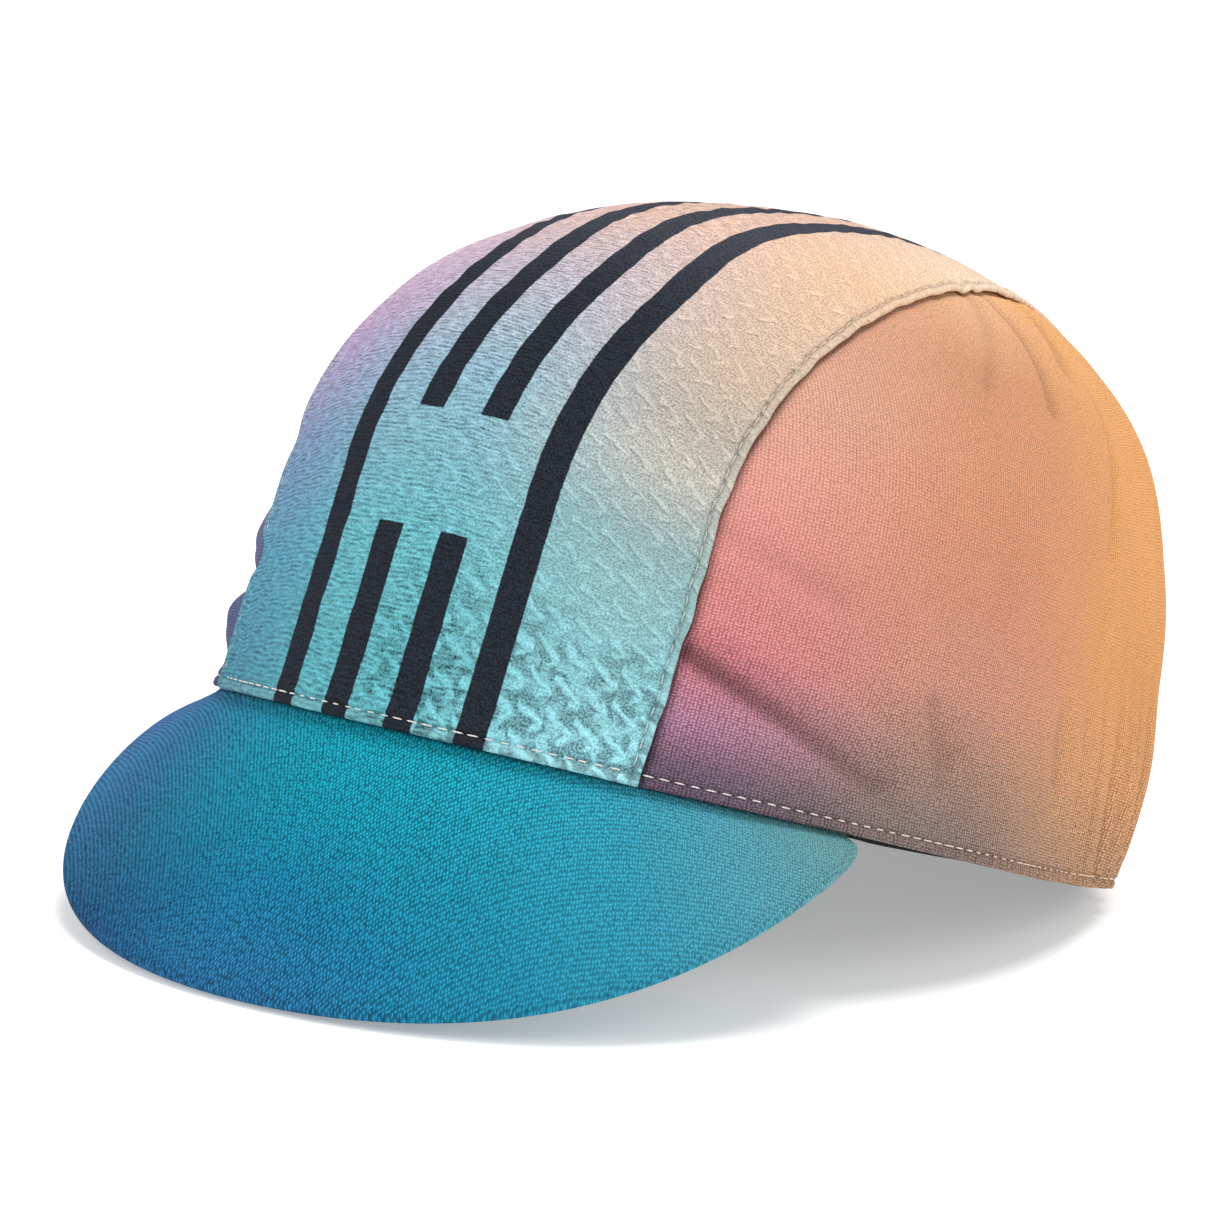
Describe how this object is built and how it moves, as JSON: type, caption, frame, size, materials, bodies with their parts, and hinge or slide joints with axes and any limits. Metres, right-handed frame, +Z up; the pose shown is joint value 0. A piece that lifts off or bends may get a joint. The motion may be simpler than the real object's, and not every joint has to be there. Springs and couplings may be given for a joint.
{
  "type": "cycling cap",
  "caption": "Soft cycling cap with a domed centre panel, gathered side panels, a sweatband and a short arched peak, standing on its peak and rim.",
  "frame": {"origin": "centre of the bounding box at the level of the surface that the cap stands on", "axes": "+Z up from that surface, the peak towards -Y, the wearer's left towards +X; the rim leans because the peak holds the front up"},
  "size_m": [0.1608, 0.246, 0.132],
  "materials": {
    "centre_cloth": "zigzag textured knit, faded from turquoise to peach with dark stripes",
    "side_cloth": "fine smooth knit, faded from mauve and salmon to orange",
    "peak_cloth": "fine pin weave over a stiff board, faded from blue to teal",
    "band_cloth": "soft dark towelling band"
  },
  "bodies": {
    "root": {"crown_centre_panel": "centre_cloth", "crown_side_panel_left": "side_cloth", "crown_side_panel_right": "side_cloth", "peak": "peak_cloth", "sweatband": "band_cloth"}
  },
  "joints": []
}
